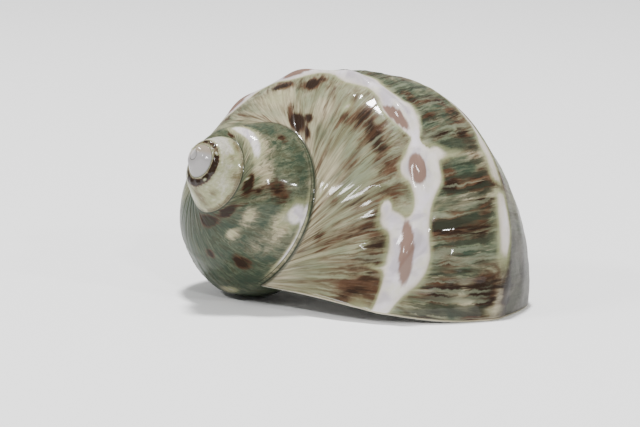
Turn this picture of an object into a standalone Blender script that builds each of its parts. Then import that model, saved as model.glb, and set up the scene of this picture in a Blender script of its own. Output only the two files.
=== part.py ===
"""A polished turban shell, lying on its mouth.

The shell is one solid, and it is grown as a shell grows. One profile, drawn from suture to
suture, is carried round the axis while it gets larger. Every growth line is a copy of the lip, so
the last one lies in the plane that the shell rests on. The hollow of the mouth is swept in the
same way, a wall's thickness inside the lip.

Lengths are in millimetres until the mesh is scaled to metres at the end, and angles in radians.
The ground is z = 0, and +X runs from the apex towards the far side of the body whorl.
"""

import math

import bmesh
import bpy
from mathutils import Matrix, Vector

METRES = 0.001
FULL_TURN = 2 * math.pi

# The spiral where it ends, at the lip
SUTURE_RADIUS = 29.9
SUTURE_DEPTH = 39.5
FOOT_DEPTH = 126.0
FOOT_SLENDERNESS = 0.03
APEX_ROUNDING = 2.2

# Growth per radian of turn: the rate at the lip, and how it changes before the lip
RADIUS_GROWTH = (0.1440, 0.0033, 0.00018)
DEPTH_GROWTH = (0.1341, 0.00054)

# How the shell lies
APEX_PLACE = (-51.85, -28.2, 50.4)
AXIS_RISE = math.radians(27.7)
AXIS_HEADING = math.radians(42.8)
AXIS_PHASE = math.radians(-156.9)

# Bulge of the profile, as shares of its chord, one number for each half wave of the bow.
# The spire's bulge turns into the body whorl's between the two turns of the change.
SPIRE_BULGE = (0.093, 0.025, 0.013, 0.0)
BODY_BULGE = (0.170, -0.010, -0.002, -0.005)
BASE_BULGE = (0.301, -0.009, 0.042, -0.016)
BULGE_CHANGE = (-9.6, -3.0)

# The lip leaves the ground towards the suture. Its wall has a thickness for each part of the mouth.
LIP_LIFT = 6.6
LIFT_REACH = 0.9
LIP_WALL = 3.6
SUTURE_WALL = 4.0
PARIETAL_WALL = 0.9
COLUMELLA_WALL = 4.6

# Keels of the body whorl: place on the profile, half width, height. They rise between two turns,
# and towards the lip the shoulder keel drifts to the suture.
SHOULDER_KEEL = (0.530, 0.045, 0.9)
LOWER_KEEL = (0.955, 0.035, 0.6)
KEEL_RISE = (-6.3, -2.5)
KEEL_DRIFT = 0.065
DRIFT_TURNS = (-1.5, -0.7)

# Knobs on the shoulder keel: turn of the middle, half length in turn, height
KNOBS = ((-4.05, 0.16, 1.3), (-3.50, 0.16, 1.4), (-2.95, 0.16, 1.4), (-2.46, 0.15, 1.5),
         (-1.99, 0.13, 1.8), (-1.54, 0.12, 1.8), (-1.02, 0.15, 1.9))
KNOB_HALF_WIDTH = 0.036

# Mesh: columns are counted along the growth from the lip back to one whorl before it
COLUMNS = 48
WHORLS = 4
UPPER_ROWS = 16
BASE_ROWS = 12
COLUMELLA_ROWS = 6
HOLLOW_RINGS = 24
HOLLOW_STEP = 2
WELD = 0.02
CREASE = math.radians(50)

SHELL_COLOUR = (0.42, 0.45, 0.33, 1.0)
SHELL_ROUGHNESS = 0.12


def smooth_step(value, start=0.0, end=1.0):
    share = min(max((value - start) / (end - start), 0.0), 1.0)
    return share * share * (3 - 2 * share)


def hump(distance, half_width):
    return math.exp(-(distance / half_width) ** 2)


def growth(turn):
    """Size of the shell at a turn. The lip has turn 0 and size 1, and earlier turns are negative."""
    rate, change = DEPTH_GROWTH
    return math.exp((rate + change * turn) * turn)


def suture(turn):
    """Radius and height of the suture in the axis frame, whose origin is the apex."""
    rate, change, bend = RADIUS_GROWTH
    radius = SUTURE_RADIUS * math.exp((rate + change * turn + bend * turn * turn) * turn)
    return radius, -SUTURE_DEPTH * growth(turn)


def foot(turn):
    """Radius and height of the profile's end, beside the columella."""
    depth = FOOT_DEPTH * growth(turn)
    return FOOT_SLENDERNESS * depth, -depth


def bowed(start, end, share, waves):
    """Point on a chord that is bowed outwards by a sum of half waves."""
    run = end[0] - start[0]
    rise = end[1] - start[1]
    bow = sum(wave * math.sin((i + 1) * math.pi * share) for i, wave in enumerate(waves))
    return start[0] + share * run - bow * rise, start[1] + share * rise + bow * run


def profile(turn, s):
    """Plain outer profile: s is 0 at the upper suture, 1 at the lower suture and 2 at the foot."""
    lower = suture(turn + FULL_TURN)
    if s > 1:
        return bowed(lower, foot(turn), s - 1, BASE_BULGE)
    age = smooth_step(turn, *BULGE_CHANGE)
    waves = [young + (old - young) * age for young, old in zip(SPIRE_BULGE, BODY_BULGE)]
    return bowed(suture(turn), lower, s, waves)


def relief(turn, s):
    """Height of the keels and knobs over the plain profile."""
    if s >= 1:
        return 0.0
    age = smooth_step(turn, *KEEL_RISE)
    place = SHOULDER_KEEL[0] - KEEL_DRIFT * smooth_step(turn, *DRIFT_TURNS)
    height = age * SHOULDER_KEEL[2] * hump(s - place, SHOULDER_KEEL[1])
    height += age * LOWER_KEEL[2] * hump(s - LOWER_KEEL[0], LOWER_KEEL[1])
    for knob_turn, half_length, knob_height in KNOBS:
        height += knob_height * hump(turn - knob_turn, half_length) * hump(s - place, KNOB_HALF_WIDTH)
    return height * smooth_step(1 - s, 0.0, 0.04)


def laid(radius, turn, height):
    """A point of the axis frame, moved to where the shell lies on the ground."""
    return LAY @ Vector((radius * math.cos(turn), -radius * math.sin(turn), height)) + Vector(APEX_PLACE)


def outside(turn, s, with_relief=True):
    """Point of the outer surface. The relief stands square to the profile."""
    radius, height = profile(turn, s)
    raised = relief(turn, s) if with_relief else 0.0
    if raised:
        before = profile(turn, s - 0.004)
        after = profile(turn, s + 0.004)
        run = after[0] - before[0]
        rise = after[1] - before[1]
        length = math.hypot(run, rise)
        radius -= raised * rise / length
        height += raised * run / length
    return laid(radius, turn, height)


def lip_turn(s):
    """Turn at which the profile's point s comes down to the level of the lip."""
    level = LIP_LIFT * (1 - smooth_step(s / LIFT_REACH))
    above = -2.4
    while outside(above + 0.05, s).z >= level:
        above += 0.05
    below = above + 0.05
    for _ in range(30):
        middle = (above + below) / 2
        if outside(middle, s).z >= level:
            above = middle
        else:
            below = middle
    return above


LAY = (Matrix.Rotation(AXIS_HEADING, 3, "Z") @ Matrix.Rotation(AXIS_RISE - math.pi / 2, 3, "Y")
       @ Matrix.Rotation(AXIS_PHASE, 3, "Z"))
UPPER = [i / UPPER_ROWS for i in range(UPPER_ROWS + 1)]
BASE = [1 + i / BASE_ROWS for i in range(BASE_ROWS + 1)]
LIP = {s: lip_turn(s) for s in UPPER + BASE}
WHORL = FULL_TURN + LIP[1.0] - LIP[0.0]


def grown(column, s, with_relief=True):
    """Outer point of a growth line. Column 0 is the lip."""
    return outside(LIP[s] - WHORL * column / COLUMNS, s, with_relief)


def columella(column, share):
    """Point beside the columella, from the foot at share 0 to one whorl before it at share 1."""
    turn = LIP[2.0] - WHORL * (column / COLUMNS + share)
    radius, height = foot(turn)
    return laid(radius, turn + FULL_TURN * share, height)


def mouth_outline(column, with_relief=True):
    """The loop round the tube at a growth line, as pairs of a point and the wall inside it."""
    outline = []
    for s in UPPER + BASE[1:]:
        wall = SUTURE_WALL + (LIP_WALL - SUTURE_WALL) * smooth_step(s, 0.0, 0.25)
        outline.append((grown(column, s, with_relief), wall))
    for i in range(1, COLUMELLA_ROWS):
        outline.append((columella(column, i / COLUMELLA_ROWS), COLUMELLA_WALL))
    for s in reversed(BASE[1:]):
        wall = PARIETAL_WALL + (SUTURE_WALL - PARIETAL_WALL) * (1 - smooth_step(s, 1.0, 1.35))
        wall += (COLUMELLA_WALL - PARIETAL_WALL) * smooth_step(s, 1.6, 2.0)
        outline.append((grown(column + COLUMNS, s, with_relief), wall))
    return outline


def hollow_ring(column):
    """The tube's inner ring: the outline moved by the wall, towards the middle of the tube."""
    line = [grown(column, s) for s in UPPER + BASE[1:]]
    middle = sum(line, Vector()) / len(line)
    size = growth(-WHORL * column / COLUMNS)
    at_lip = column == 0
    ring = []
    for point, wall in mouth_outline(column, with_relief=at_lip):
        inward = middle - point
        if at_lip:
            inward.z = 0.0
        ring.append(point + inward.normalized() * wall * size)
    return ring


def add_sheet(bm, columns, rows, place):
    """A grid whose vertex (i, j) is put at place(i, j)."""
    made = bmesh.ops.create_grid(bm, x_segments=columns, y_segments=rows, size=0.5)
    for vert in made["verts"]:
        i = round((vert.co.x + 0.5) * columns)
        j = round((vert.co.y + 0.5) * rows)
        vert.co = place(i, j)


def close_hole(bm, inside_edge, tip):
    """Fill the open loop that passes the test with a fan of faces round the tip."""
    rim = [edge for edge in bm.edges if edge.is_boundary and inside_edge(edge)]
    faces = bmesh.ops.holes_fill(bm, edges=rim, sides=0)["faces"]
    middle = bmesh.ops.poke(bm, faces=faces)["verts"][0]
    middle.co = tip


def add_hollow(bm):
    """The lip's face, from the outline to the first ring, and the tube behind it."""
    rings = [[point for point, _ in mouth_outline(0)]]
    rings += [hollow_ring(i * HOLLOW_STEP) for i in range(HOLLOW_RINGS + 1)]
    loop = len(rings[0])
    add_sheet(bm, HOLLOW_RINGS + 1, loop, lambda i, j: rings[i][j % loop])
    bmesh.ops.remove_doubles(bm, verts=bm.verts, dist=WELD)
    last = {tuple(round(value, 2) for value in point) for point in rings[-1]}
    end = sum(rings[-1], Vector()) / loop
    close_hole(bm, lambda edge: tuple(round(value, 2) for value in edge.verts[0].co) in last, end)


def add_columella_ramp(bm):
    """The narrow ramp that winds up between the base and the columella."""
    step = COLUMNS // COLUMELLA_ROWS

    def place(i, j):
        if j == 0:
            return grown(i, 2.0)
        return columella(0, round(i / step) / COLUMELLA_ROWS)

    add_sheet(bm, COLUMNS, 1, place)


def build_shell():
    bm = bmesh.new()
    add_hollow(bm)
    add_sheet(bm, COLUMNS * WHORLS, UPPER_ROWS, lambda i, j: grown(i, UPPER[j]))
    add_sheet(bm, COLUMNS, BASE_ROWS, lambda i, j: grown(i, BASE[j]))
    add_columella_ramp(bm)
    bmesh.ops.remove_doubles(bm, verts=bm.verts, dist=WELD)
    close_hole(bm, lambda edge: True, laid(0.0, 0.0, -APEX_ROUNDING))
    bmesh.ops.triangulate(bm, faces=bm.faces)
    bmesh.ops.recalc_face_normals(bm, faces=bm.faces)
    bmesh.ops.scale(bm, verts=bm.verts, vec=(METRES, METRES, METRES))

    mesh = bpy.data.meshes.new("turban_shell")
    bm.to_mesh(mesh)
    bm.free()
    mesh.shade_smooth()
    mesh.set_sharp_from_angle(angle=CREASE)
    shell = bpy.data.objects.new("turban_shell", mesh)
    bpy.context.scene.collection.objects.link(shell)
    return shell


def polished_shell():
    material = bpy.data.materials.new("polished_shell")
    material.use_nodes = True
    shader = material.node_tree.nodes["Principled BSDF"]
    shader.inputs["Base Color"].default_value = SHELL_COLOUR
    shader.inputs["Roughness"].default_value = SHELL_ROUGHNESS
    shader.inputs["Metallic"].default_value = 0.0
    return material


for old in list(bpy.data.objects):
    bpy.data.objects.remove(old)

shell = build_shell()
shell.data.materials.append(polished_shell())
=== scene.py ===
"""The polished turban shell as the photograph shows it, over the fixed CAD frame.

The surface is grown by the same rules as the CAD part, with a finer mesh, and it carries two UV
maps. "growth" holds the age of a growth line and the place s on it; "turn" holds the turn and s.
The markings are laid out in those coordinates, so they follow the shell's own growth.
The shell is in millimetres until its mesh is scaled, lamps and floor are in metres, and angles and
turns are in radians.
"""

import math

import bmesh
import bpy
import numpy as np
from mathutils import Matrix, Vector


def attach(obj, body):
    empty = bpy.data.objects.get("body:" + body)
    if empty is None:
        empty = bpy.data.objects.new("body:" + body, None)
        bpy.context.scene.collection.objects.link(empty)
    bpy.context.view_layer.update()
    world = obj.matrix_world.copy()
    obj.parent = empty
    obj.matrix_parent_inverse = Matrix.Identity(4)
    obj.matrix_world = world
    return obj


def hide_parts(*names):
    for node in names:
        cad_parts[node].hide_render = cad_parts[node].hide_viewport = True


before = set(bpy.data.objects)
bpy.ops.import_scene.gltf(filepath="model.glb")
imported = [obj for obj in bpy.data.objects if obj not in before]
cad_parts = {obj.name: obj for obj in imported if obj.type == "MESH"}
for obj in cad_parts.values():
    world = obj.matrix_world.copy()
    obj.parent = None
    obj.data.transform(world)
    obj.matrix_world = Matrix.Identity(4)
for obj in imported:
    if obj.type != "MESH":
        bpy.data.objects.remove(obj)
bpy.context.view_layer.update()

METRES = 0.001
FULL_TURN = 2 * math.pi

# The spiral where it ends, at the lip
SUTURE_RADIUS = 29.9
SUTURE_DEPTH = 39.5
FOOT_DEPTH = 126.0
FOOT_SLENDERNESS = 0.03
APEX_ROUNDING = 2.2
DOME_RADIUS = 1.4

# Growth per radian of turn: the rate at the lip, and how it changes before the lip
RADIUS_GROWTH = (0.1440, 0.0033, 0.00018)
DEPTH_GROWTH = (0.1341, 0.00054)

# How the shell lies
APEX_PLACE = np.array((-51.85, -28.2, 50.4))
AXIS_RISE = math.radians(27.7)
AXIS_HEADING = math.radians(42.8)
AXIS_PHASE = math.radians(-156.9)

# Bulge of the profile, as shares of its chord, one number for each half wave of the bow
SPIRE_BULGE = (0.093, 0.025, 0.013, 0.0)
BODY_BULGE = (0.170, -0.010, -0.002, -0.005)
BASE_BULGE = (0.301, -0.009, 0.042, -0.016)
BULGE_CHANGE = (-9.6, -3.0)

# The lip: its lift at the suture, the turns between which it is looked for, and its walls
LIP_LIFT = 6.6
LIFT_REACH = 0.9
LIP_SEARCH = (-2.4, 0.6)
SEARCH_STEP = 0.05
LIP_WALL = 3.6
SUTURE_WALL = 4.0
PARIETAL_WALL = 0.9
COLUMELLA_WALL = 4.6

# Rounding of the lip's edges: its greatest height, and shares of it across the lip
LIP_ROUNDING = 0.7
LIP_FACE = ((0.0, 1.0), (0.08, 0.42), (0.2, 0.1), (0.4, 0.0), (0.65, 0.0), (0.85, 0.15), (1.0, 0.6))

# Keels of the body whorl: place on the profile, half width, height
SHOULDER_KEEL = (0.530, 0.045, 0.9)
LOWER_KEEL = (0.955, 0.035, 0.6)
KEEL_RISE = (-6.3, -2.5)
KEEL_DRIFT = 0.065
DRIFT_TURNS = (-1.5, -0.7)

# Knobs on the shoulder keel: turn of the middle, half length in turn, height
KNOBS = ((-4.05, 0.16, 1.3), (-3.50, 0.16, 1.4), (-2.95, 0.16, 1.4), (-2.46, 0.15, 1.5),
         (-1.99, 0.13, 1.8), (-1.54, 0.12, 1.8), (-1.02, 0.15, 1.9))
KNOB_HALF_WIDTH = 0.036

# Faint spiral cords: place on the profile, half width, height
CORDS = ((0.635, 0.018, 0.08), (0.705, 0.018, 0.12), (0.775, 0.018, 0.12), (0.85, 0.02, 0.10),
         (1.13, 0.03, 0.20), (1.24, 0.03, 0.20), (1.35, 0.03, 0.18), (1.46, 0.03, 0.15))

# Wrinkles that follow the lip: waves per radian of age, slant, phase, height
WRINKLES = ((31.0, 2.0, 0.4, 0.05), (53.0, -5.0, 1.9, 0.04), (83.0, 9.0, 3.1, 0.025),
            (127.0, -7.0, 5.3, 0.015))
WRINKLE_SWAY = 1.7
WRINKLED_TURNS = (-6.8, -4.2)

# Raised scales of the shoulder: turn, s, half length in turn, half width in s, height
SCALES = ((-2.245, 0.375, 0.022, 0.05, 0.8), (-1.40, 0.344, 0.024, 0.05, 0.9),
          (-0.946, 0.306, 0.022, 0.045, 0.7), (-1.62, 0.33, 0.02, 0.05, 0.35),
          (-0.87, 0.38, 0.02, 0.05, 0.6))

# Beads along the third whorl's suture: turn from one to the next, place, half width, height
BEAD_STEP = 0.47
BEAD_PLACE = 0.13
BEAD_HALF_WIDTH = 0.06
BEAD_HEIGHT = 0.25
FIRST_BEADS = (-17.0, -16.4)
LAST_BEADS = (-11.6, -11.0)

# Turns over which one whorl's colouring takes over from the one before
PEARL_END = (-17.6, -16.8)
EARLY_END = (-11.4, -10.6)
BODY_START = (-4.95, -4.45)
SPIRE_END = (-6.30, -6.15)

# Share of each tone on the body whorl, the penultimate whorl and the third whorl
BROWN_SHARES = (0.34, 0.30, 0.05)
GREEN_SHARES = (0.30, 0.60, 0.22)
CREAM_SHARES = (0.40, 0.34, 0.45)

# Bands of the layout: middle and half width in s
BETWEEN_KEELS = (0.75, 0.19)
BEAD_BAND = (0.13, 0.11)
LOWER_WHITE = 0.962
DASH_START = 1.02
DASH_STEP = 0.11

# Turns at which the white of the shoulder keel narrows, and that of the lower keel has a gap
WAIST_TURN = -1.745
GAP_TURN = -1.57

# Markings: turn, s, half length in turn, half width in s, amount
MARK_LEAN = 0.6
BROWN_MARKS = (
    # Shoulder of the body whorl
    (-2.38, 0.065, 0.12, 0.040, 0.9), (-2.33, 0.125, 0.07, 0.025, 0.5), (-2.12, 0.05, 0.08, 0.025, 0.4),
    (-2.66, 0.15, 0.06, 0.07, 0.35), (-2.68, 0.36, 0.07, 0.055, 0.7), (-2.98, 0.37, 0.10, 0.045, 0.55),
    (-2.62, 0.43, 0.05, 0.03, 0.3), (-2.05, 0.25, 0.05, 0.04, 0.25), (-1.83, 0.345, 0.17, 0.035, 0.25),
    (-1.25, 0.10, 0.06, 0.02, 0.25), (-0.86, 0.07, 0.07, 0.025, 0.3), (-1.10, 0.36, 0.25, 0.05, 0.14),
    (-0.95, 0.22, 0.35, 0.10, 0.07), (-2.90, 0.22, 0.22, 0.10, -0.30), (-1.55, 0.10, 0.25, 0.05, -0.08),
    (-0.60, 0.30, 0.10, 0.06, 0.1),
    # Between the keels
    (-2.10, 0.76, 0.05, 0.17, 0.22), (-1.82, 0.77, 0.03, 0.17, 0.28), (-1.53, 0.76, 0.05, 0.17, 0.28),
    (-1.27, 0.76, 0.04, 0.17, 0.26), (-1.02, 0.80, 0.05, 0.15, 0.22), (-2.15, 0.68, 0.10, 0.04, 0.25),
    (-1.48, 0.68, 0.05, 0.03, 0.30), (-1.23, 0.62, 0.03, 0.05, 0.35), (-1.35, 0.87, 0.07, 0.04, 0.15),
    (-1.02, 0.89, 0.10, 0.04, 0.20), (-0.93, 0.66, 0.06, 0.08, 0.25), (-2.05, 0.88, 0.12, 0.04, 0.15),
    (-1.80, 0.86, 0.04, 0.05, 0.2), (-1.10, 1.01, 0.10, 0.02, 0.45), (-1.10, 0.93, 0.10, 0.03, 0.12),
    # Penultimate whorl
    (-8.80, 0.04, 0.18, 0.03, 0.4), (-7.25, 0.10, 0.20, 0.05, 0.8), (-6.45, 0.07, 0.22, 0.05, 0.9),
    (-5.85, 0.08, 0.22, 0.05, 1.1), (-7.40, 0.47, 0.12, 0.15, 0.42), (-7.20, 0.25, 0.08, 0.08, 0.35),
    (-7.30, 0.60, 0.08, 0.08, 0.30), (-8.35, 0.68, 0.08, 0.09, 0.45), (-6.25, 0.64, 0.08, 0.09, 0.75),
    (-5.82, 0.42, 0.06, 0.05, 0.7), (-7.00, 0.14, 0.30, 0.05, 0.25), (-8.0, 0.25, 0.4, 0.15, -0.2),
    (-6.5, 0.30, 0.3, 0.08, -0.3),
    # Third whorl
    (-15.2, 0.15, 0.30, 0.07, 0.6), (-14.6, 0.16, 0.15, 0.06, 0.5), (-13.5, 0.12, 0.40, 0.07, 1.0),
    (-12.8, 0.11, 0.15, 0.06, 0.7), (-12.1, 0.10, 0.30, 0.06, 0.6), (-11.4, 0.10, 0.25, 0.06, 0.5))
GREEN_MARKS = (
    # Body whorl
    (-1.60, 0.70, 0.08, 0.08, 0.2), (-2.05, 0.68, 0.25, 0.05, 0.2), (-3.40, 0.20, 0.20, 0.12, 0.25),
    (-2.90, 0.22, 0.25, 0.12, -0.25), (-0.95, 0.80, 0.08, 0.06, -0.3),
    # Penultimate whorl. The broad mark at -5.60 is painted shade on its lower side, and the mark at -8.65,
    # 0.60 is painted shade along its left edge.
    (-5.60, 0.55, 0.50, 0.45, 0.30), (-6.45, 0.47, 0.30, 0.08, 0.22), (-6.45, 0.85, 0.25, 0.10, 0.15),
    # The last mark on the next line clears green for a patch that is partly pale shell and partly a painted
    # highlight
    (-7.85, 0.80, 0.30, 0.10, 0.25), (-8.05, 0.15, 0.40, 0.12, -0.5), (-8.65, 0.18, 0.35, 0.13, -0.6),
    (-8.65, 0.60, 0.20, 0.25, 0.20), (-7.55, 0.20, 0.15, 0.10, -0.3), (-6.95, 0.70, 0.16, 0.12, -0.40),
    (-6.78, 0.29, 0.12, 0.06, -0.55), (-6.35, 0.29, 0.12, 0.06, -0.55), (-5.75, 0.90, 0.20, 0.08, -0.2),
    (-6.1, 0.9, 0.35, 0.12, 0.1), (-7.50, 0.30, 0.20, 0.08, -0.35), (-8.40, 0.32, 0.50, 0.08, -0.25),
    (-6.30, 0.20, 0.50, 0.06, 0.30), (-7.05, 0.47, 0.20, 0.08, 0.30), (-5.80, 0.93, 0.16, 0.06, -0.5),
    (-6.76, 0.95, 0.35, 0.035, -0.4),
    # Third whorl
    (-14.0, 0.62, 0.14, 0.14, 0.5), (-12.65, 0.55, 0.18, 0.12, 0.5), (-13.5, 0.78, 0.20, 0.16, 0.5),
    (-12.1, 0.50, 0.22, 0.40, 0.5), (-14.5, 0.85, 0.30, 0.12, 0.5), (-13.0, 0.95, 0.90, 0.08, 0.7))
CREAM_MARKS = (
    # Body whorl
    (-2.95, 0.24, 0.22, 0.12, 0.5), (-2.30, 0.22, 0.15, 0.08, 0.3), (-1.50, 0.08, 0.30, 0.05, 0.2),
    (-1.42, 0.76, 0.04, 0.15, 0.4), (-1.15, 0.76, 0.03, 0.15, 0.4), (-1.69, 0.74, 0.05, 0.14, 0.5),
    (-1.12, 0.75, 0.03, 0.10, 0.3), (-1.97, 0.72, 0.05, 0.08, 0.3), (-1.05, 0.975, 0.08, 0.02, 0.5),
    (-0.95, 0.80, 0.08, 0.06, 0.4),
    # Penultimate whorl
    (-6.75, 0.30, 0.16, 0.08, 0.8), (-6.35, 0.30, 0.12, 0.07, 0.7), (-7.00, 0.68, 0.18, 0.07, 0.7),
    (-6.60, 0.55, 0.14, 0.06, 0.6), (-6.62, 0.70, 0.12, 0.06, 0.4), (-8.0, 0.22, 0.3, 0.1, 0.5),
    # The last mark on the next line, at -8.70, 0.20, is partly pale shell and partly a painted highlight
    (-8.25, 0.35, 0.25, 0.10, 0.4), (-7.15, 0.93, 0.80, 0.035, 0.5), (-8.70, 0.20, 0.45, 0.10, 0.5),
    (-7.65, 0.22, 0.12, 0.12, 0.3), (-7.50, 0.30, 0.20, 0.08, 0.4), (-6.76, 0.95, 0.35, 0.03, 0.5),
    (-5.80, 0.93, 0.16, 0.06, 0.4))
WHITE_MARKS = (
    # Beside the keels of the body whorl
    (-1.27, 0.355, 0.05, 0.03, 0.9), (-1.19, 0.38, 0.06, 0.05, 0.9), (-1.15, 0.43, 0.08, 0.05, 0.9),
    (-1.53, 0.59, 0.08, 0.04, 0.5), (-1.53, 0.44, 0.08, 0.03, 0.4), (-1.02, 0.57, 0.12, 0.03, 0.5),
    # The first mark on the next line, at -2.18, 0.31, is a painted glint beside a raised scale
    (-2.18, 0.31, 0.04, 0.05, 0.55), (-0.89, 0.37, 0.015, 0.05, 0.5), (-1.67, 0.64, 0.06, 0.05, 0.75),
    (-1.69, 0.74, 0.035, 0.08, 0.35), (-1.30, 0.03, 0.08, 0.015, 0.6), (-2.95, 0.24, 0.18, 0.09, 0.35),
    (-1.38, 0.99, 0.14, 0.03, 0.5), (-0.62, 0.38, 0.08, 0.05, 0.5),
    # Penultimate whorl
    # The second mark on the next line, at -8.70, 0.20, is partly pale shell and partly a painted highlight
    (-7.20, 0.82, 0.16, 0.13, 0.90), (-8.70, 0.20, 0.45, 0.09, 0.85), (-8.05, 0.20, 0.30, 0.10, 0.35),
    (-6.78, 0.29, 0.12, 0.05, 0.35), (-6.35, 0.29, 0.09, 0.05, 0.30), (-7.02, 0.66, 0.14, 0.06, 0.30),
    (-7.15, 0.925, 0.6, 0.025, 0.35), (-8.0, 0.18, 0.35, 0.07, 0.3), (-7.32, 0.07, 0.035, 0.03, 0.6),
    (-8.50, 0.30, 0.40, 0.06, 0.25), (-7.50, 0.30, 0.12, 0.05, 0.2), (-6.74, 0.935, 0.28, 0.022, 0.55),
    (-5.82, 0.93, 0.12, 0.05, 0.45),
    # Third whorl
    (-14.0, 0.17, 0.08, 0.06, 0.4), (-12.5, 0.10, 0.12, 0.05, 0.4), (-15.2, 0.15, 0.40, 0.08, -0.5),
    (-14.55, 0.15, 0.2, 0.08, -0.5), (-13.4, 0.13, 0.5, 0.09, -0.7), (-12.0, 0.13, 0.5, 0.09, -0.6),
    (-14.0, 0.62, 0.14, 0.14, -0.35), (-12.65, 0.55, 0.18, 0.12, -0.35), (-13.5, 0.78, 0.20, 0.16, -0.35),
    (-14.5, 0.85, 0.3, 0.12, -0.35), (-12.1, 0.50, 0.22, 0.40, -0.4), (-13.2, 0.95, 1.6, 0.06, -0.4))

# Mauve centres of the knobs: turn, s, half length in turn, half width in s, tilt
MAUVE_SPOTS = (
    (-4.05, 0.52, 0.13, 0.028, 0.1), (-3.50, 0.52, 0.13, 0.028, 0.1), (-2.95, 0.52, 0.13, 0.028, 0.1),
    (-1.93, 0.495, 0.125, 0.028, 0.20), (-1.535, 0.512, 0.10, 0.044, 0.0),
    (-1.05, 0.490, 0.170, 0.036, 0.16))

# Mesh
COLUMNS = 264
WHORLS = 4
UPPER_ROWS = 64
BASE_ROWS = 48
COLUMELLA_ROWS = 24
HOLLOW_RINGS = 66
HOLLOW_STEP = 4
HOLLOW_END_REACH = 20
TIP_RINGS = 5
PROFILE_STEP = 0.004
WELD = 0.004
CREASE = math.radians(60)


def linear(red, green, blue):
    """A screen colour of 0 to 255 as the linear colour that a shader takes."""
    return tuple((channel / 255) ** 2.2 for channel in (red, green, blue)) + (1.0,)


# Colours of the streaks
SAGE = linear(120, 125, 100)
CREAM = linear(170, 161, 134)
OLIVE = linear(96, 86, 62)
DEEP_OLIVE = linear(46, 48, 34)
DARK_GREEN = linear(52, 63, 51)
BROWN = linear(74, 54, 40)
RED_BROWN = linear(88, 67, 51)
DARK_BROWN = linear(42, 31, 23)
# Pale ripple crests: partly the shell's pale banding, partly painted highlight. SUTURE_LINE below also serves
# as painted shade in the hollows between the keels
CREST_TONE_AND_HIGHLIGHT = linear(122, 127, 106)
SUTURE_LINE = linear(46, 50, 40)

# Colours of the keels, the base, the tip and the mouth
WHITE = linear(212, 204, 210)
WARM_WHITE = linear(201, 196, 181)
LAVENDER = linear(168, 160, 168)
PALE_RIM = linear(190, 181, 168)
HALO = linear(150, 153, 115)
MAUVE = linear(122, 99, 89)
# Greys of the base patch: the shell's grey, darkened further as painted shade on the down-facing base
GREY_AND_SHADE = linear(46, 45, 43)
PALE_GREY_AND_SHADE = linear(82, 79, 76)
PEARL_GREY = linear(150, 147, 146)
NUB = linear(136, 126, 112)
PEARL = linear(232, 230, 222)
PEARL_ROSE = linear(226, 208, 208)
PEARL_GREEN = linear(206, 220, 208)

# Noise on the shell: waves per radian of age, waves per s, place in the noise, detail, roughness, warp
FINE_NOISE = (30.0, 5.0, 1.3, 4.0, 0.60, 0.7)
STREAK_NOISE = (11.0, 3.6, 7.1, 4.0, 0.62, 0.8)
HAIR_NOISE = (75.0, 4.0, 2.2, 3.0, 0.60, 0.6)
BROAD_NOISE = (6.0, 5.0, 3.7, 3.0, 0.55, 0.6)
CLOUD_NOISE = (9.0, 14.0, 5.2, 4.0, 0.60, 0.3)
CALM_NOISE = (8.0, 6.5, 9.4, 4.0, 0.60, 0.6)
RIPPLE_NOISE = (27.0, 1.6, 4.4, 2.0, 0.50, 0.0)
RIPPLE_SWAY = 1.5

# Polish
ROUGHNESS = 0.30
SPECULAR = 0.03
COAT_ROUGHNESS = 0.07
COAT_IOR = 2.6
BUMP_STRENGTH = 0.25
BUMP_DISTANCE = 0.0006

# Camera, from the apex in millimetres
CAMERA_FROM_APEX = np.array((41.2, -1000.0, 134.3))
CAMERA_FALL = math.radians(8.74)
CAMERA_ROLL = math.radians(0.955)
LENS = 185.6
SENSOR_WIDTH = 36

# Lamps: name, place, aim, size, power
SHELL_MIDDLE = (0, 0, 0.04)
LAMPS = (
    ("overhead", (-0.1, 0.35, 2.2), (0, 0.2, 0), (0.30, 0.30), 84),
    ("front", (0.25, -1.08, 0.58), SHELL_MIDDLE, (0.07, 0.07), 5.0),
    ("right", (0.70, -0.80, 0.62), SHELL_MIDDLE, (0.06, 0.06), 3.0),
    ("left", (-0.80, -0.42, 0.76), SHELL_MIDDLE, (0.45, 0.06), 4.5))
SKY_STRENGTH = 0.40
FLOOR_SIZE = 15
FLOOR_TONE = (0.93, 0.93, 0.93, 1)


def smooth_step(value, start=0.0, end=1.0):
    share = np.clip((value - start) / (end - start), 0.0, 1.0)
    return share * share * (3 - 2 * share)


def hump(distance, half_width):
    return np.exp(-(distance / half_width) ** 2)


def growth(turn):
    """Size of the shell at a turn. The lip has turn 0 and size 1, and earlier turns are negative."""
    rate, change = DEPTH_GROWTH
    return np.exp((rate + change * turn) * turn)


def suture(turn):
    """Radius and height of the suture in the axis frame, whose origin is the apex."""
    rate, change, bend = RADIUS_GROWTH
    radius = SUTURE_RADIUS * np.exp((rate + change * turn + bend * turn * turn) * turn)
    return radius, -SUTURE_DEPTH * growth(turn)


def foot(turn):
    """Radius and height of the profile's end, beside the columella."""
    depth = FOOT_DEPTH * growth(turn)
    return FOOT_SLENDERNESS * depth, -depth


def bowed(start, end, share, waves):
    """Point on a chord that is bowed outwards by a sum of half waves."""
    run = end[0] - start[0]
    rise = end[1] - start[1]
    bow = sum(wave * np.sin((i + 1) * math.pi * share) for i, wave in enumerate(waves))
    return start[0] + share * run - bow * rise, start[1] + share * rise + bow * run


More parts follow.
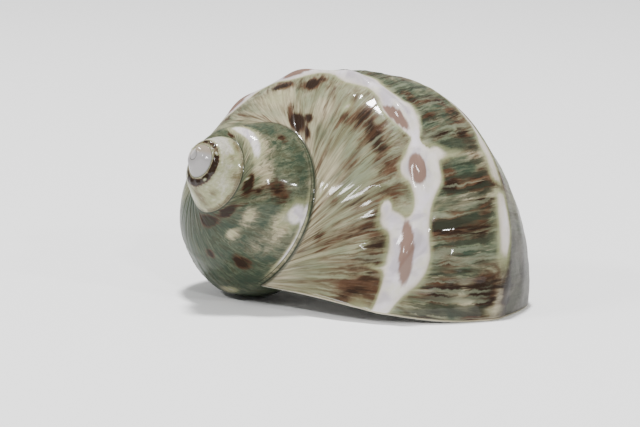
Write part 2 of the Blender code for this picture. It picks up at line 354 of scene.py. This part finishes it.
def profile(turn, s):
    """Plain outer profile: s is 0 at the upper suture, 1 at the lower suture and 2 at the foot."""
    lower = suture(turn + FULL_TURN)
    age = smooth_step(turn, *BULGE_CHANGE)
    waves = [young + (old - young) * age for young, old in zip(SPIRE_BULGE, BODY_BULGE)]
    upper = bowed(suture(turn), lower, s, waves)
    base = bowed(lower, foot(turn), s - 1, BASE_BULGE)
    return np.where(s > 1, base[0], upper[0]), np.where(s > 1, base[1], upper[1])


def shoulder_place(turn):
    """Where the shoulder keel runs on the profile. It climbs a little before the lip."""
    return SHOULDER_KEEL[0] - KEEL_DRIFT * smooth_step(turn, *DRIFT_TURNS)


def relief(turn, s):
    """Height of the keels and knobs over the plain profile."""
    age = smooth_step(turn, *KEEL_RISE)
    place = shoulder_place(turn)
    height = age * SHOULDER_KEEL[2] * hump(s - place, SHOULDER_KEEL[1])
    height = height + age * LOWER_KEEL[2] * hump(s - LOWER_KEEL[0], LOWER_KEEL[1])
    for knob_turn, half_length, knob_height in KNOBS:
        along = hump(turn - knob_turn, half_length)
        height = height + knob_height * along * hump(s - place, KNOB_HALF_WIDTH)
    return np.where(s < 1, height * smooth_step(1 - s, 0.0, 0.04), 0.0)


def bead_row(turn):
    """1 at the middle of each bead of the spire, 0 between the beads."""
    return 0.5 + 0.5 * np.cos(FULL_TURN * turn / BEAD_STEP)


def beads_over(turn, s):
    """Share of a bead's height at each place round the beads."""
    return bead_row(turn) * hump(s - BEAD_PLACE, BEAD_HALF_WIDTH)


def wrinkles(turn, s, age, old):
    """Folds that follow the lip. They are strongest between the keels and leave the shoulder keel flat."""
    folds = 0.0
    for pitch, slant, phase, fold in WRINKLES:
        sway = WRINKLE_SWAY * np.sin(5 * s + 2 * age)
        folds = folds + fold * np.sin(pitch * age + slant * s + phase + sway)
    between = smooth_step(s, 0.56, 0.64) * smooth_step(1 - s, 0.04, 0.12)
    off_keel = 1 - 0.9 * old * hump(s - shoulder_place(turn), 0.07)
    return folds * off_keel * (0.10 + 0.85 * old + 1.3 * old * between)


def fine_relief(turn, s, age):
    """Cords, wrinkles, beads and scales. They fade out at the sutures and at the lip."""
    old = smooth_step(turn, *WRINKLED_TURNS)
    height = wrinkles(turn, s, age, old)
    for place, half_width, cord in CORDS:
        height = height + old * cord * hump(s - place, half_width)
    beaded = smooth_step(turn, *FIRST_BEADS) * (1 - smooth_step(turn, *LAST_BEADS))
    height = height + BEAD_HEIGHT * beaded * beads_over(turn, s)
    for scale_turn, place, half_length, half_width, scale in SCALES:
        height = height + scale * hump(turn - scale_turn, half_length) * hump(s - place, half_width)
    sutures = smooth_step(s, 0.0, 0.05) * smooth_step(np.abs(1 - s), 0.0, 0.04) * smooth_step(2 - s, 0.0, 0.1)
    return height * sutures * smooth_step(age, 0.0, 0.05)


def laid(radius, turn, height):
    """A point of the axis frame, moved to where the shell lies on the ground."""
    point = np.stack(np.broadcast_arrays(radius * np.cos(turn), -radius * np.sin(turn), height), -1)
    return point @ LAY.T + APEX_PLACE


def outside(turn, s, raised):
    """Point of the outer surface. The relief stands square to the profile."""
    radius, height = profile(turn, s)
    before = profile(turn, s - PROFILE_STEP)
    after = profile(turn, s + PROFILE_STEP)
    run = after[0] - before[0]
    rise = after[1] - before[1]
    length = np.hypot(run, rise)
    return laid(radius - raised * rise / length, turn, height + raised * run / length)


def lip_turns(s):
    """Turns at which the profile's points s come down to the level of the lip."""
    level = LIP_LIFT * (1 - smooth_step(s / LIFT_REACH))
    steps = np.arange(*LIP_SEARCH, SEARCH_STEP)[:, None]
    heights = outside(steps, s[None, :], relief(steps, s[None, :]))[..., 2]
    first = np.argmax(heights < level, axis=0)
    above = steps[first - 1, 0]
    below = above + SEARCH_STEP
    for _ in range(30):
        middle = (above + below) / 2
        high = outside(middle, s, relief(middle, s))[..., 2] >= level
        above = np.where(high, middle, above)
        below = np.where(high, below, middle)
    return above


LAY = np.array(Matrix.Rotation(AXIS_HEADING, 3, "Z") @ Matrix.Rotation(AXIS_RISE - math.pi / 2, 3, "Y")
               @ Matrix.Rotation(AXIS_PHASE, 3, "Z"))
UPPER = np.linspace(0, 1, UPPER_ROWS + 1)
BASE = np.linspace(1, 2, BASE_ROWS + 1)
LINE = np.concatenate((UPPER, BASE[1:]))
LIP = lip_turns(LINE)
WHORL = FULL_TURN + LIP[UPPER_ROWS] - LIP[0]


def lip_at(s):
    return np.interp(s, LINE, LIP)


def age_of(columns):
    """Age of growth lines. It grows by one whorl in COLUMNS lines, from 0 at the lip."""
    return WHORL * columns / COLUMNS


def grown(columns, s, detail=1.0):
    """Outer points and turns of growth lines. Column 0 is the lip."""
    age = age_of(columns)
    turn = lip_at(s) - age
    raised = relief(turn, s) + detail * fine_relief(turn, s, age)
    return outside(turn, s, raised if detail else 0.0), turn


def columella(column, share):
    """Points beside the columella, from the foot at share 0 to one whorl before it at share 1."""
    turn = LIP[-1] - WHORL * (column / COLUMNS + share)
    radius, height = foot(turn)
    return laid(radius, turn + FULL_TURN * share, height)


def mouth_outline(column, detail):
    """The loop round the tube at a growth line, as points and the wall inside each of them."""
    steps = np.arange(1, COLUMELLA_ROWS) / COLUMELLA_ROWS
    back = BASE[:0:-1]
    outer, _ = grown(column, LINE, detail)
    inner, _ = grown(column + COLUMNS, back, detail)
    walls = np.concatenate((
        SUTURE_WALL + (LIP_WALL - SUTURE_WALL) * smooth_step(LINE, 0.0, 0.25),
        np.full(len(steps), COLUMELLA_WALL),
        PARIETAL_WALL + (SUTURE_WALL - PARIETAL_WALL) * (1 - smooth_step(back, 1.0, 1.35))
        + (COLUMELLA_WALL - PARIETAL_WALL) * smooth_step(back, 1.6, 2.0)))
    return np.concatenate((outer, columella(column, steps), inner)), walls


def hollow_ring(column):
    """The tube's inner ring: the outline moved by the wall, towards the middle of the tube."""
    at_lip = column == 0
    outline, walls = mouth_outline(column, 1.0 if at_lip else 0.0)
    inward = grown(column, LINE)[0].mean(axis=0) - outline
    if at_lip:
        inward[:, 2] = 0.0
    inward /= np.linalg.norm(inward, axis=1)[:, None]
    return outline + inward * (walls * growth(-age_of(column)))[:, None]


def lip_face():
    """Rings across the lip, from its outer to its inner edge, with both edges rounded."""
    outer, _ = mouth_outline(0, 1.0)
    inner = hollow_ring(0)
    rings = []
    for share, lift in LIP_FACE:
        ring = outer + (inner - outer) * share
        ring[:, 2] += LIP_ROUNDING * lift
        rings.append(ring)
    return rings


def add_sheet(bm, points, ages, turns, s):
    """A grid with the vertex (i, j) at points[i, j], and its coordinates in the two UV maps."""
    columns = points.shape[0] - 1
    rows = points.shape[1] - 1
    ages, turns, s = (np.broadcast_to(field, points.shape[:2]) for field in (ages, turns, s))
    made = bmesh.ops.create_grid(bm, x_segments=columns, y_segments=rows, size=0.5)
    growth_map = bm.loops.layers.uv["growth"]
    turn_map = bm.loops.layers.uv["turn"]
    for vert in made["verts"]:
        i = round((vert.co.x + 0.5) * columns)
        j = round((vert.co.y + 0.5) * rows)
        vert.co = points[i, j]
        for loop in vert.link_loops:
            loop[growth_map].uv = (ages[i, j], s[i, j])
            loop[turn_map].uv = (turns[i, j], s[i, j])


def add_upper(bm, lip_ring):
    """The four visible whorls, from suture to suture."""
    columns = np.arange(COLUMNS * WHORLS + 1)[:, None]
    points, turns = grown(columns, UPPER)
    points[0] = lip_ring[:UPPER_ROWS + 1]
    add_sheet(bm, points, age_of(columns), turns, UPPER)


def add_base(bm, lip_ring):
    """The base of the last whorl. Its far edge is the mouth's inner side."""
    columns = np.arange(COLUMNS + 1)[:, None]
    points, turns = grown(columns, BASE)
    points[0] = lip_ring[UPPER_ROWS:len(LINE)]
    points[-1, 1:] = lip_ring[:-BASE_ROWS - 1:-1]
    points[-1, 0] = lip_ring[0]
    add_sheet(bm, points, age_of(columns), turns, BASE)


def add_columella_ramp(bm, lip_ring):
    """The narrow ramp that winds up between the base and the columella."""
    columns = np.arange(COLUMNS + 1)
    edge, turns = grown(columns, 2.0)
    foot_row = len(LINE) - 1
    steps = np.concatenate((lip_ring[foot_row:foot_row + COLUMELLA_ROWS], lip_ring[-BASE_ROWS][None]))
    edge[0] = steps[0]
    edge[-1] = steps[-1]
    place = columns / COLUMNS * COLUMELLA_ROWS
    rows = np.arange(COLUMELLA_ROWS + 1)
    inner = np.stack([np.interp(place, rows, steps[:, axis]) for axis in range(3)], -1)
    add_sheet(bm, np.stack((edge, inner), 1), age_of(columns)[:, None], turns[:, None], 2.0)


def add_hollow(bm, face_rings):
    """The lip's face and the tube behind it. Its s runs below 0, so that it is told from outside."""
    columns = [HOLLOW_STEP * (i + 1.0) for i in range(HOLLOW_RINGS)]
    rings = face_rings + [hollow_ring(column) for column in columns]
    points = np.stack([np.concatenate((ring, ring[:1])) for ring in rings])
    across = np.linspace(-1.0, 0.0, len(face_rings))
    depth = np.concatenate((across, np.array(columns) / COLUMNS))
    add_sheet(bm, points, depth[:, None], 0.0, np.linspace(-2.0, -1.0, points.shape[1]))
    return Vector(points[-1].mean(axis=0))


def close_hollow(bm, end):
    """Close the far end of the tube with a fan round a point in its middle."""
    rim = [edge for edge in bm.edges
           if edge.is_boundary and (edge.verts[0].co - end).length < HOLLOW_END_REACH]
    faces = bmesh.ops.holes_fill(bm, edges=rim, sides=0)["faces"]
    bmesh.ops.poke(bm, faces=faces)


def close_tip(bm):
    """Round the apex off: a fan over the last open loop, cut into rings and raised to a dome."""
    rim = [edge for edge in bm.edges if edge.is_boundary]
    faces = bmesh.ops.holes_fill(bm, edges=rim, sides=0)["faces"]
    middle = bmesh.ops.poke(bm, faces=faces)["verts"][0]
    tip = Vector(laid(0.0, 0.0, -APEX_ROUNDING))
    middle.co = tip
    up = Vector(LAY[:, 2])
    made = bmesh.ops.subdivide_edges(bm, edges=list(middle.link_edges), cuts=TIP_RINGS)
    for item in made["geom_inner"]:
        if isinstance(item, bmesh.types.BMVert):
            away = item.co - tip
            drop = -away.dot(up)
            across = (away + up * drop).length
            item.co += up * drop * (1 - min(across / DOME_RADIUS, 1.0)) / 2


def build_shell():
    bm = bmesh.new()
    bm.loops.layers.uv.new("growth")
    bm.loops.layers.uv.new("turn")
    rings = lip_face()
    end = add_hollow(bm, rings)
    bmesh.ops.remove_doubles(bm, verts=bm.verts, dist=WELD)
    close_hollow(bm, end)
    add_upper(bm, rings[0])
    add_base(bm, rings[0])
    add_columella_ramp(bm, rings[0])
    bmesh.ops.remove_doubles(bm, verts=bm.verts, dist=WELD)
    close_tip(bm)
    bmesh.ops.recalc_face_normals(bm, faces=bm.faces)
    bmesh.ops.scale(bm, verts=bm.verts, vec=(METRES, METRES, METRES))

    mesh = bpy.data.meshes.new("shell")
    bm.to_mesh(mesh)
    bm.free()
    mesh.shade_smooth()
    mesh.set_sharp_from_angle(angle=CREASE)
    store_layout(mesh)
    mesh.materials.append(shell_material())
    shell = bpy.data.objects.new("shell", mesh)
    bpy.context.scene.collection.objects.link(shell)
    return shell


def marks(turn, s, table):
    """Sum of soft spots. Each one leans with the growth lines."""
    field = np.zeros_like(turn)
    for mark_turn, place, half_turn, half_s, amount in table:
        lean = MARK_LEAN * (lip_at(s) - lip_at(place))
        field += amount * hump(turn - mark_turn - lean, half_turn) * hump(s - place, half_s)
    return field


def band(s, middle, half_width):
    """A flat band with soft edges."""
    return 1 - smooth_step(np.abs(s - middle) / half_width, 0.4, 1.4)


def zones(turn):
    """Shares of the body whorl's, the penultimate whorl's and the third whorl's colouring."""
    body = smooth_step(turn, *BODY_START)
    early = 1 - smooth_step(turn, *EARLY_END)
    return body, 1 - body - early, early


def zoned(turn, shares):
    return sum(share * zone for share, zone in zip(shares, zones(turn)))


def third_whorl_darkening(turn):
    """How much darker the third whorl is towards its younger end."""
    return zones(turn)[2] * smooth_step(turn, -14.8, -13.4)


def bead_band(turn, s):
    """The dark band that the third whorl's beads stand in."""
    return zones(turn)[2] * band(s, *BEAD_BAND) * smooth_step(turn, -16.6, -16.0)


def brown_layout(turn, s):
    """Streaks on the shoulder, rows between the keels, rows of dashes on the base, and the marks."""
    body = zones(turn)[0]
    late = smooth_step(turn, -2.4, -1.9)
    brown = zoned(turn, BROWN_SHARES)
    brown += body * ((0.08 + 0.08 * late) * hump(s - 0.35, 0.10) + 0.05 * late)
    rows = 0.12 * hump(s - 0.69, 0.05) + 0.15 * hump(s - 0.87, 0.05) - 0.05
    brown += body * band(s, *BETWEEN_KEELS) * rows
    dashes = 0.10 * np.cos((s - DASH_START) * FULL_TURN / DASH_STEP) - 0.02
    brown += body * np.where(s > 1, dashes, 0.0)
    brown += (0.46 + 0.14 * third_whorl_darkening(turn)) * bead_band(turn, s)
    return brown + marks(turn, s, BROWN_MARKS)


def green_layout(turn, s):
    """Dark green between the keels and on the penultimate whorl, deepest on its younger half, which is partly
    the shell's own dark green and partly painted shade on the whorl's lower side.
    """
    body, middle, _ = zones(turn)
    green = zoned(turn, GREEN_SHARES) + 0.34 * body * band(s, *BETWEEN_KEELS)
    # Deeper green on the younger half: partly its own colour, partly painted shade on the lower side
    green += 0.12 * middle * smooth_step(turn, -6.6, -5.8)
    return green + marks(turn, s, GREEN_MARKS)


def cream_layout(turn, s):
    body = zones(turn)[0]
    cream = zoned(turn, CREAM_SHARES) + body * (0.2 * hump(s, 0.06) - 0.04 * band(s, *BETWEEN_KEELS))
    return cream + marks(turn, s, CREAM_MARKS)


def keel_white(turn, s):
    """White of both keels. The upper one widens round the knobs, the lower one fades before the lip."""
    keel = smooth_step(turn, -5.0, -4.2)
    width = 0.024 + 0.012 * smooth_step(turn, -2.6, -2.3) - 0.022 * hump(turn - WAIST_TURN, 0.04)
    for knob_turn, half_length, _ in KNOBS:
        width += 0.064 * hump(turn - knob_turn, half_length * 1.2)
    upper = band(s, shoulder_place(turn) + 0.012, width)
    low_width = 0.014 + 0.021 * smooth_step(turn, -1.95, -1.80)
    gap = 1 - hump(turn - GAP_TURN, 0.025)
    fading = (1 - smooth_step(turn, -1.30, -1.12)) * (0.70 - 0.14 * smooth_step(turn, -1.9, -1.5))
    return keel * (upper + band(s, LOWER_WHITE, low_width) * gap * fading)


def third_whorl_white(turn, s, pearl):
    """White of the third whorl, with dark gaps at its beads and along its lower suture."""
    early = zones(turn)[2]
    white = early * (s <= 1.0) * (0.53 + 0.4 * pearl)
    white -= bead_band(turn, s) * (0.75 - 0.95 * beads_over(turn, s))
    white -= 0.45 * early * band(s, 0.95, 0.08) * (0.5 + 0.5 * np.cos(17 * turn)) * (1 - pearl)
    white -= 0.05 * early * smooth_step(s, 0.70, 0.80) * (1 - pearl)
    return white - third_whorl_darkening(turn) * (0.06 + 0.05 * band(s, 0.36, 0.12))


def mauve_layout(turn, s):
    mauve = np.zeros_like(turn)
    for spot_turn, middle_s, half_length, half_width, tilt in MAUVE_SPOTS:
        across = s - middle_s - tilt * (turn - spot_turn)
        spot = ((turn - spot_turn) / half_length) ** 2 + (across / half_width) ** 2
        mauve = np.maximum(mauve, 1 - smooth_step(spot, 0.4, 1.6))
    return mauve


def grey_layout(turn, s):
    """The grey patch on the base, below the lower keel and near the lip."""
    return smooth_step(turn, -1.9, -1.3) * smooth_step(s, 0.93, 1.03) * (1 - smooth_step(s, 1.20, 1.40))


def layout(turn, s):
    """What the material reads at each place: its tones first, then the shares of special zones."""
    pearl = 1 - smooth_step(turn, *PEARL_END)
    columella_white = smooth_step(s, 1.40, 2.0)
    white = keel_white(turn, s) + third_whorl_white(turn, s, pearl) + columella_white
    white += marks(turn, s, WHITE_MARKS)
    tones = (brown_layout(turn, s) * (1 - pearl), green_layout(turn, s) * (1 - pearl),
             cream_layout(turn, s), white)
    _, middle, early = zones(turn)
    extras = (mauve_layout(turn, s), np.maximum(middle, early), pearl, grey_layout(turn, s))
    return tones, extras


def store_layout(mesh):
    """Keep the layout on the mesh's corners, for the material."""
    values = np.empty(len(mesh.loops) * 2, np.float32)
    mesh.uv_layers["turn"].data.foreach_get("uv", values)
    turn, s = values.reshape(-1, 2).T.astype(float)
    for name, channels in zip(("tones", "extras"), layout(turn, s)):
        attribute = mesh.attributes.new(name, "FLOAT_COLOR", "CORNER")
        attribute.data.foreach_set("color", np.stack(channels, -1).astype(np.float32).ravel())


class Nodes:
    """Small helpers that add nodes to a material and link them."""

    def __init__(self, material):
        material.use_nodes = True
        self.tree = material.node_tree
        self.shader = self.tree.nodes["Principled BSDF"]

    def put(self, socket, value):
        if isinstance(value, bpy.types.NodeSocket):
            self.tree.links.new(value, socket)
        else:
            socket.default_value = value

    def math(self, operation, *values):
        node = self.tree.nodes.new("ShaderNodeMath")
        node.operation = operation
        for socket, value in zip(node.inputs, values):
            self.put(socket, value)
        return node.outputs[0]

    def times(self, first, second):
        return self.math("MULTIPLY", first, second)

    def greater(self, first, second):
        return self.math("MAXIMUM", first, second)

    def rest_of(self, share):
        return self.math("SUBTRACT", 1.0, share)

    def step(self, value, start, end, low=0.0, high=1.0):
        node = self.tree.nodes.new("ShaderNodeMapRange")
        node.interpolation_type = "SMOOTHSTEP"
        for socket, part in zip(node.inputs, (value, start, end, low, high)):
            self.put(socket, part)
        return node.outputs[0]

    def cut(self, field, noise, strength, start, end):
        """A field roughened by noise and cut to a mask."""
        rough = self.math("MULTIPLY_ADD", noise, strength, self.math("SUBTRACT", field, strength / 2))
        return self.step(rough, start, end)

    def mix(self, share, first, second):
        node = self.tree.nodes.new("ShaderNodeMix")
        node.data_type = "RGBA"
        self.put(node.inputs[0], share)
        self.put(node.inputs[6], first)
        self.put(node.inputs[7], second)
        return node.outputs[2]

    def blend(self, share, first, second):
        node = self.tree.nodes.new("ShaderNodeMix")
        for index, value in ((0, share), (2, first), (3, second)):
            self.put(node.inputs[index], value)
        return node.outputs[0]

    def uv(self, name):
        node = self.tree.nodes.new("ShaderNodeUVMap")
        node.uv_map = name
        split = self.tree.nodes.new("ShaderNodeSeparateXYZ")
        self.put(split.inputs[0], node.outputs[0])
        return split.outputs[0], split.outputs[1]

    def channels(self, name):
        node = self.tree.nodes.new("ShaderNodeAttribute")
        node.attribute_name = name
        split = self.tree.nodes.new("ShaderNodeSeparateColor")
        self.put(split.inputs[0], node.outputs["Color"])
        return split.outputs[0], split.outputs[1], split.outputs[2], node.outputs["Alpha"]

    def noise(self, along, across, place, detail, roughness, warp):
        join = self.tree.nodes.new("ShaderNodeCombineXYZ")
        for socket, value in zip(join.inputs, (along, across, place)):
            self.put(socket, value)
        node = self.tree.nodes.new("ShaderNodeTexNoise")
        self.put(node.inputs["Vector"], join.outputs[0])
        node.inputs["Scale"].default_value = 1.0
        node.inputs["Detail"].default_value = detail
        node.inputs["Roughness"].default_value = roughness
        node.inputs["Distortion"].default_value = warp
        return node.outputs[0]


class Surface:
    """What the material knows of each place: its growth, its layout, its noises and its zones."""

    def __init__(self, nodes):
        self.nodes = nodes
        self.age, self.s = nodes.uv("growth")
        self.turn, _ = nodes.uv("turn")
        self.brown, self.green, self.cream, self.white = nodes.channels("tones")
        self.mauve, self.soft, self.pearl, self.grey = nodes.channels("extras")
        self.add_noises()
        self.add_zones()
        self.add_patches()

    def noise(self, kind, sway=0.0):
        waves_of_age, waves_of_s, place, detail, roughness, warp = kind
        along = self.nodes.math("MULTIPLY_ADD", self.age, waves_of_age, sway)
        across = self.nodes.times(self.s, waves_of_s)
        return self.nodes.noise(along, across, place, detail, roughness, warp)

    def add_noises(self):
        """Fine and streaky noise calms down on the early whorls, and fine noise on the shoulder too."""
        nodes = self.nodes
        self.hair = self.noise(HAIR_NOISE)
        self.broad = self.noise(BROAD_NOISE)
        self.cloud = self.noise(CLOUD_NOISE)
        self.calm = self.noise(CALM_NOISE)
        self.ripple = self.noise(RIPPLE_NOISE, nodes.times(self.cloud, RIPPLE_SWAY))
        self.above_keel = nodes.step(self.s, 0.52, 0.42)
        calmed = nodes.times(nodes.greater(self.soft, nodes.times(self.above_keel, 0.8)), 0.5)
        self.fine = nodes.blend(calmed, self.noise(FINE_NOISE), self.calm)
        self.streak = nodes.blend(nodes.times(self.soft, 0.4), self.noise(STREAK_NOISE), self.calm)

    def add_zones(self):
        nodes = self.nodes
        body = nodes.rest_of(self.soft)
        self.lined = nodes.times(body, nodes.step(self.s, 0.06, 0.22, 0.25, 1.0))
        between = nodes.times(nodes.step(self.s, 0.56, 0.62), nodes.step(self.s, 0.94, 0.90))
        self.between_keels = nodes.times(between, body)
        slope = nodes.times(nodes.step(self.s, 0.06, 0.24), nodes.step(self.s, 0.5, 0.42))
        self.shoulder = nodes.times(nodes.times(nodes.step(self.turn, -2.5, -1.8), body), slope)
        self.after_early = nodes.step(self.turn, *EARLY_END)
        self.penultimate = nodes.times(self.soft, self.after_early)

    def add_patches(self):
        """Broad patches where brown takes the place of green."""
        nodes = self.nodes
        strength = nodes.math("SUBTRACT", 0.6, nodes.times(self.soft, 0.3))
        patches = nodes.times(nodes.math("SUBTRACT", self.broad, 0.5), strength)
        self.brown = nodes.math("ADD", self.brown, patches)
        self.green = nodes.math("SUBTRACT", self.green, patches)


def sage_and_green(nodes, at):
    """Sage and cream, with olive and dark green over them."""
    colour = nodes.mix(nodes.cut(at.cream, at.broad, 0.9, 0.25, 0.75), SAGE, CREAM)
    colour = nodes.mix(nodes.step(at.fine, 0.40, 0.60, 0.0, 0.6), colour, OLIVE)
    deep = nodes.mix(at.after_early, OLIVE, DARK_GREEN)
    streaked = nodes.step(at.fine, 0.36, 0.62, 0.68, 1.0)
    return nodes.mix(nodes.times(nodes.cut(at.green, at.streak, 1.3, 0.30, 0.75), streaked), colour, deep)


def brown_streaks(nodes, at, colour):
    rusty = nodes.times(nodes.step(at.cloud, 0.42, 0.6), nodes.rest_of(at.penultimate))
    reddish = nodes.mix(rusty, BROWN, RED_BROWN)
    colour = nodes.mix(nodes.cut(at.brown, at.streak, 1.2, 0.34, 0.70), colour, reddish)
    return nodes.mix(nodes.cut(at.brown, at.fine, 1.5, 0.48, 0.80), colour, DARK_BROWN)


def growth_lines(nodes, at, colour):
    """Thin brown and cream hairs, broken up on the shoulder, and wider ripples. The ripples' pale crests and
    dark hollows follow the bump's ripple noise: partly banding of the shell, partly painted highlight on the
    crests and painted shade in the hollows.
    """
    broken = nodes.greater(nodes.step(at.cloud, 0.42, 0.58, 0.25, 1.0), nodes.rest_of(at.above_keel))
    hairs = nodes.times(at.lined, broken)
    colour = nodes.mix(nodes.times(nodes.step(at.hair, 0.39, 0.33, 0.0, 0.6), hairs), colour, BROWN)
    colour = nodes.mix(nodes.times(nodes.step(at.hair, 0.64, 0.72, 0.0, 0.4), hairs), colour, CREAM)
    # Crests are partly pale banding and partly painted highlight; hollows are partly dark lines and partly
    # painted shade
    for zone, depth, hollow_tone_and_shade in ((at.between_keels, 0.75, SUTURE_LINE), (at.shoulder, 0.6, BROWN)):
        pale_and_lit_crests = nodes.times(nodes.step(at.ripple, 0.54, 0.66, 0.0, 0.5), zone)
        dark_and_shaded_hollows = nodes.times(nodes.step(at.ripple, 0.46, 0.38, 0.0, depth), zone)
        colour = nodes.mix(pale_and_lit_crests, colour, CREST_TONE_AND_HIGHLIGHT)
        colour = nodes.mix(dark_and_shaded_hollows, colour, hollow_tone_and_shade)
    return colour


def veins_and_marble(nodes, at, colour):
    """Dark veins on the penultimate whorl, and the marbled grey patch on the base, whose greys are partly the
    shell's grey and partly painted shade on the down-facing base.
    """
    soft_streak = nodes.math("MULTIPLY_ADD", at.streak, 0.5, nodes.times(at.calm, 0.5))
    vein = nodes.times(nodes.step(soft_streak, 0.50, 0.42, 0.0, 0.65), at.penultimate)
    colour = nodes.mix(vein, colour, DEEP_OLIVE)
    # Marbled grey patch, partly the shell's grey and partly painted shade on the down-facing base
    marble_and_shade = nodes.mix(nodes.step(at.cloud, 0.40, 0.62), GREY_AND_SHADE, PALE_GREY_AND_SHADE)
    return nodes.mix(nodes.times(at.grey, 0.85), colour, marble_and_shade)


def white_parts(nodes, at, colour):
    """White keels and patches with a soft olive edge, the mauve centres, and the pearly tip."""
    pale = nodes.mix(nodes.step(at.cloud, 0.3, 0.7), WHITE, WARM_WHITE)
    pale = nodes.mix(nodes.step(at.broad, 0.45, 0.65, 0.0, 0.8), pale, LAVENDER)
    pale = nodes.mix(nodes.greater(nodes.step(at.white, 0.50, 1.0), at.soft), PALE_RIM, pale)
    halo = nodes.mix(0.5, colour, HALO)
    colour = nodes.mix(nodes.cut(at.white, at.cloud, 0.35, 0.04, 0.40), colour, halo)
    colour = nodes.mix(nodes.cut(at.white, at.cloud, 0.40, 0.36, 0.70), colour, pale)
    colour = nodes.mix(nodes.cut(at.mauve, at.cloud, 0.06, 0.2, 0.8), colour, MAUVE)
    tip = nodes.mix(nodes.step(at.turn, -20.6, -20.0), NUB, PEARL_GREY)
    return nodes.mix(at.pearl, colour, tip)


def suture_lines(nodes, at, colour):
    """A dark line under each suture, and on the spire one above it and a thin one higher up."""
    thin = nodes.step(nodes.math("ABSOLUTE", nodes.math("SUBTRACT", at.s, 0.945)), 0.003, 0.009, 0.7, 0.0)
    above = nodes.greater(nodes.step(at.s, 0.972, 0.988, 0.0, 0.9), thin)
    spire = nodes.step(at.turn, *SPIRE_END, 1.0, 0.0)
    line = nodes.greater(nodes.times(above, spire), nodes.step(at.s, 0.004, 0.014, 0.75, 0.0))
    return nodes.mix(nodes.times(line, nodes.step(at.s, 1.0, 1.002, 1.0, 0.0)), colour, SUTURE_LINE)


def mouth_colours(nodes, at, colour):
    """Nacre inside the tube, and a cream edge on the lip. Only these places have s below 0."""
    nacre = nodes.mix(nodes.step(at.broad, 0.35, 0.65), PEARL_ROSE, PEARL_GREEN)
    nacre = nodes.mix(nodes.step(at.cloud, 0.3, 0.7), nacre, PEARL)
    edge = nodes.mix(nodes.step(at.age, -0.95, -0.60), CREAM, nacre)
    nacre = nodes.mix(nodes.step(at.age, -0.02, 0.0), edge, nacre)
    return nodes.mix(nodes.step(at.s, -0.9, -0.5, 1.0, 0.0), colour, nacre)


def growth_bump(nodes, at):
    """Height of the finest ripples. The white parts stay almost smooth."""
    ripples = nodes.times(nodes.math("ADD", at.fine, at.hair),
                          nodes.math("MULTIPLY_ADD", at.between_keels, 1.5, 0.8))
    rippled = nodes.math("MULTIPLY_ADD", at.shoulder, 0.6, at.between_keels)
    ripples = nodes.math("MULTIPLY_ADD", nodes.times(at.ripple, rippled), 9.0, ripples)
    bare = nodes.step(at.white, 0.2, 0.6, 1.0, 0.1)
    return nodes.times(ripples, nodes.times(at.lined, bare))


def shell_material():
    material = bpy.data.materials.new("polished shell")
    nodes = Nodes(material)
    at = Surface(nodes)
    colour = sage_and_green(nodes, at)
    for layer in (brown_streaks, growth_lines, veins_and_marble, white_parts, suture_lines, mouth_colours):
        colour = layer(nodes, at, colour)

    shader = nodes.shader
    nodes.put(shader.inputs["Base Color"], colour)
    shader.inputs["Roughness"].default_value = ROUGHNESS
    shader.inputs["Specular IOR Level"].default_value = SPECULAR
    gloss = nodes.rest_of(nodes.times(nodes.greater(at.grey, at.penultimate), 0.45))
    nodes.put(shader.inputs["Coat Weight"], nodes.times(nodes.blend(at.between_keels, 0.13, 0.10), gloss))
    shader.inputs["Coat Roughness"].default_value = COAT_ROUGHNESS
    shader.inputs["Coat IOR"].default_value = COAT_IOR
    bump = nodes.tree.nodes.new("ShaderNodeBump")
    bump.inputs["Strength"].default_value = BUMP_STRENGTH
    bump.inputs["Distance"].default_value = BUMP_DISTANCE
    nodes.put(bump.inputs["Height"], growth_bump(nodes, at))
    nodes.put(shader.inputs["Normal"], bump.outputs[0])
    return material


def add_floor():
    mesh = bpy.data.meshes.new("floor")
    bm = bmesh.new()
    bmesh.ops.create_grid(bm, x_segments=1, y_segments=1, size=FLOOR_SIZE)
    bm.to_mesh(mesh)
    bm.free()
    floor = bpy.data.objects.new("floor", mesh)
    bpy.context.scene.collection.objects.link(floor)
    material = bpy.data.materials.new("pale floor")
    material.use_nodes = True
    shader = material.node_tree.nodes["Principled BSDF"]
    shader.inputs["Base Color"].default_value = FLOOR_TONE
    shader.inputs["Roughness"].default_value = 0.7
    shader.inputs["Specular IOR Level"].default_value = 0.2
    mesh.materials.append(material)


def add_lamp(name, place, aim, size, power):
    light = bpy.data.lights.new(name, "AREA")
    light.shape = "RECTANGLE"
    light.size, light.size_y = size
    light.energy = power
    lamp = bpy.data.objects.new(name, light)
    bpy.context.scene.collection.objects.link(lamp)
    lamp.location = place
    lamp.rotation_euler = (Vector(aim) - Vector(place)).to_track_quat("-Z", "Y").to_euler()


def add_sky():
    world = bpy.data.worlds.new("studio")
    world.use_nodes = True
    background = world.node_tree.nodes["Background"]
    background.inputs["Color"].default_value = (1, 1, 1, 1)
    background.inputs["Strength"].default_value = SKY_STRENGTH
    bpy.context.scene.world = world


def add_camera():
    data = bpy.data.cameras.new("camera")
    data.lens = LENS
    data.sensor_width = SENSOR_WIDTH
    camera = bpy.data.objects.new("camera", data)
    bpy.context.scene.collection.objects.link(camera)
    turned = Matrix.Rotation(math.pi / 2 - CAMERA_FALL, 4, "X") @ Matrix.Rotation(CAMERA_ROLL, 4, "Z")
    place = (APEX_PLACE + CAMERA_FROM_APEX) * METRES
    camera.matrix_world = Matrix.Translation(Vector(place)) @ turned
    bpy.context.scene.camera = camera


shell = build_shell()
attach(shell, "root")
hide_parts("turban_shell")

add_floor()
add_camera()
for lamp in LAMPS:
    add_lamp(*lamp)
add_sky()
